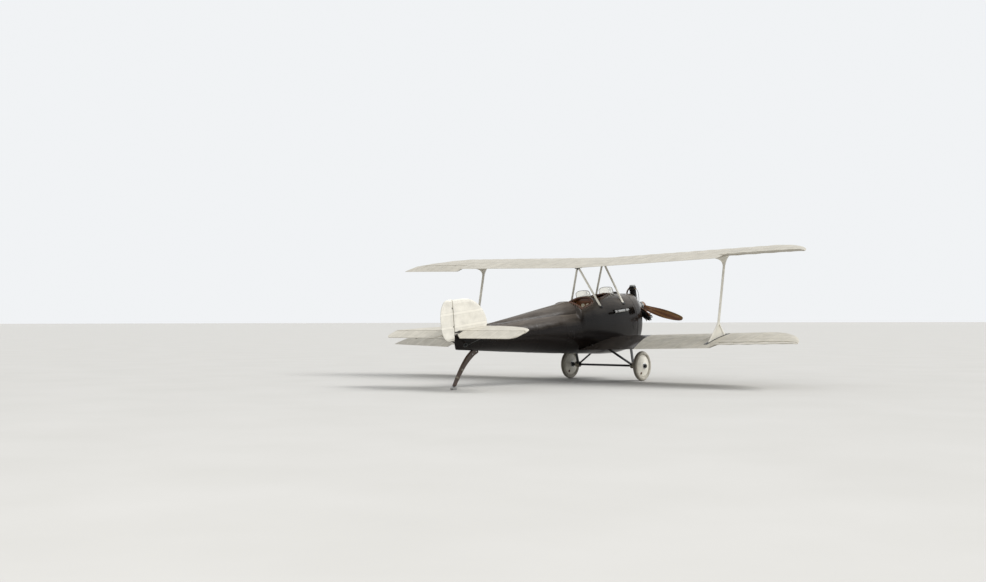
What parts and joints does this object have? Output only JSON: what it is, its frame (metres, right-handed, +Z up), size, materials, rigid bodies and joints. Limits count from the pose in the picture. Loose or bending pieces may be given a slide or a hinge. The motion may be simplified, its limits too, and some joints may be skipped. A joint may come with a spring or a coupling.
{
  "type": "two-seat light biplane",
  "caption": "Light open-cockpit biplane with radial engine, single interplane struts, fixed two-wheel undercarriage and tail skid, with turning wheels, propeller and control surfaces.",
  "frame": {"origin": "on the ground, under the middle of the whole aircraft's box", "axes": "+X to port, across the span; +Y towards the tail; +Z up"},
  "size_m": [8.5164, 5.7592, 2.3385],
  "materials": {
    "doped_fabric": "doped, satin",
    "dark_skin": "dark varnish over moulded ply, gloss",
    "pale_paint": "enamel, satin",
    "screen": "clear",
    "seat_leather": "worn",
    "tyre": "pale grey rubber",
    "varnished_wood": "varnished",
    "bare_steel": "brushed",
    "engine_metal": "cast, oily",
    "dark_steel": "black enamel"
  },
  "bodies": {
    "airframe": {"body_shell": "dark_skin", "headrest_fairing": "dark_skin", "nose_cowl": "dark_skin", "cockpit_floor": "varnished_wood", "front_instrument_panel": "varnished_wood", "rear_instrument_panel": "varnished_wood", "front_seat": "seat_leather", "rear_seat": "seat_leather", "front_windscreen": "screen", "rear_windscreen": "screen", "crankcase": "engine_metal", "cylinder_top": "engine_metal", "cylinder_left": "engine_metal", "cylinder_right": "engine_metal", "upper_wing_centre": "doped_fabric", "upper_wing_left": "doped_fabric", "lower_wing_stub_left": "dark_skin", "lower_wing_left": "doped_fabric", "interplane_strut_left": "pale_paint", "upper_wing_right": "doped_fabric", "lower_wing_stub_right": "dark_skin", "lower_wing_right": "doped_fabric", "interplane_strut_right": "pale_paint", "cabane_front": "pale_paint", "cabane_rear": "pale_paint", "stabiliser": "doped_fabric", "fin": "doped_fabric", "tail_skid": "varnished_wood", "tail_brace_left": "dark_steel", "gear_legs_left": "dark_steel", "exhaust_left": "bare_steel", "tail_brace_right": "dark_steel", "gear_legs_right": "dark_steel", "exhaust_right": "bare_steel", "axle": "dark_steel"},
    "wheel_left": {"tyre_left": "tyre", "wheel_disc_left": "pale_paint"},
    "wheel_right": {"tyre_right": "tyre", "wheel_disc_right": "pale_paint"},
    "propeller": {"propeller": "varnished_wood", "propeller_hub": "bare_steel"},
    "upper_aileron_left": {"upper_aileron_left": "doped_fabric"},
    "upper_aileron_right": {"upper_aileron_right": "doped_fabric"},
    "lower_aileron_left": {"lower_aileron_left": "doped_fabric"},
    "lower_aileron_right": {"lower_aileron_right": "doped_fabric"},
    "elevator": {"elevator_tube": "dark_steel", "elevator_left": "doped_fabric", "elevator_right": "doped_fabric"},
    "rudder": {"rudder": "doped_fabric"}
  },
  "joints": [
    {"name": "wheel_left_spin", "type": "hinge", "parent": "airframe", "child": "wheel_left", "pos_m": [0.795, -1.59949, 0.266], "axis": [1, 0, 0], "continuous": true},
    {"name": "wheel_right_spin", "type": "hinge", "parent": "airframe", "child": "wheel_right", "pos_m": [-0.795, -1.59949, 0.266], "axis": [1, 0, 0], "continuous": true},
    {"name": "propeller_spin", "type": "hinge", "parent": "airframe", "child": "propeller", "pos_m": [0, -2.82027, 1.35889], "axis": [0, -0.9938, 0.1115], "continuous": true},
    {"name": "upper_aileron_left_hinge", "type": "hinge", "parent": "airframe", "child": "upper_aileron_left", "pos_m": [2.84, -0.97091, 2.15344], "axis": [0.9997, 0.0028, 0.0251], "range_deg": [-9, 31]},
    {"name": "lower_aileron_left_hinge", "type": "hinge", "parent": "airframe", "child": "lower_aileron_left", "pos_m": [2.84, -0.68134, 0.69809], "axis": [0.9997, 0.0028, 0.0251], "range_deg": [-9, 31]},
    {"name": "upper_aileron_right_hinge", "type": "hinge", "parent": "airframe", "child": "upper_aileron_right", "pos_m": [-2.84, -0.97091, 2.15344], "axis": [0.9997, -0.0028, -0.0251], "range_deg": [-31, 9]},
    {"name": "lower_aileron_right_hinge", "type": "hinge", "parent": "airframe", "child": "lower_aileron_right", "pos_m": [-2.84, -0.68134, 0.69809], "axis": [0.9997, -0.0028, -0.0251], "range_deg": [-31, 9]},
    {"name": "elevator_hinge", "type": "hinge", "parent": "airframe", "child": "elevator", "pos_m": [0, 2.49234, 0.90588], "axis": [1, 0, 0], "range_deg": [-11, 39]},
    {"name": "rudder_hinge", "type": "hinge", "parent": "airframe", "child": "rudder", "pos_m": [0, 2.60795, 1.10221], "axis": [0, 0.1115, 0.9938], "range_deg": [-25, 25]}
  ],
  "couplings": [
    {"joint": "lower_aileron_left_hinge", "follows": "upper_aileron_left_hinge", "ratio": 1},
    {"joint": "upper_aileron_right_hinge", "follows": "upper_aileron_left_hinge", "ratio": -1},
    {"joint": "lower_aileron_right_hinge", "follows": "upper_aileron_left_hinge", "ratio": -1}
  ]
}
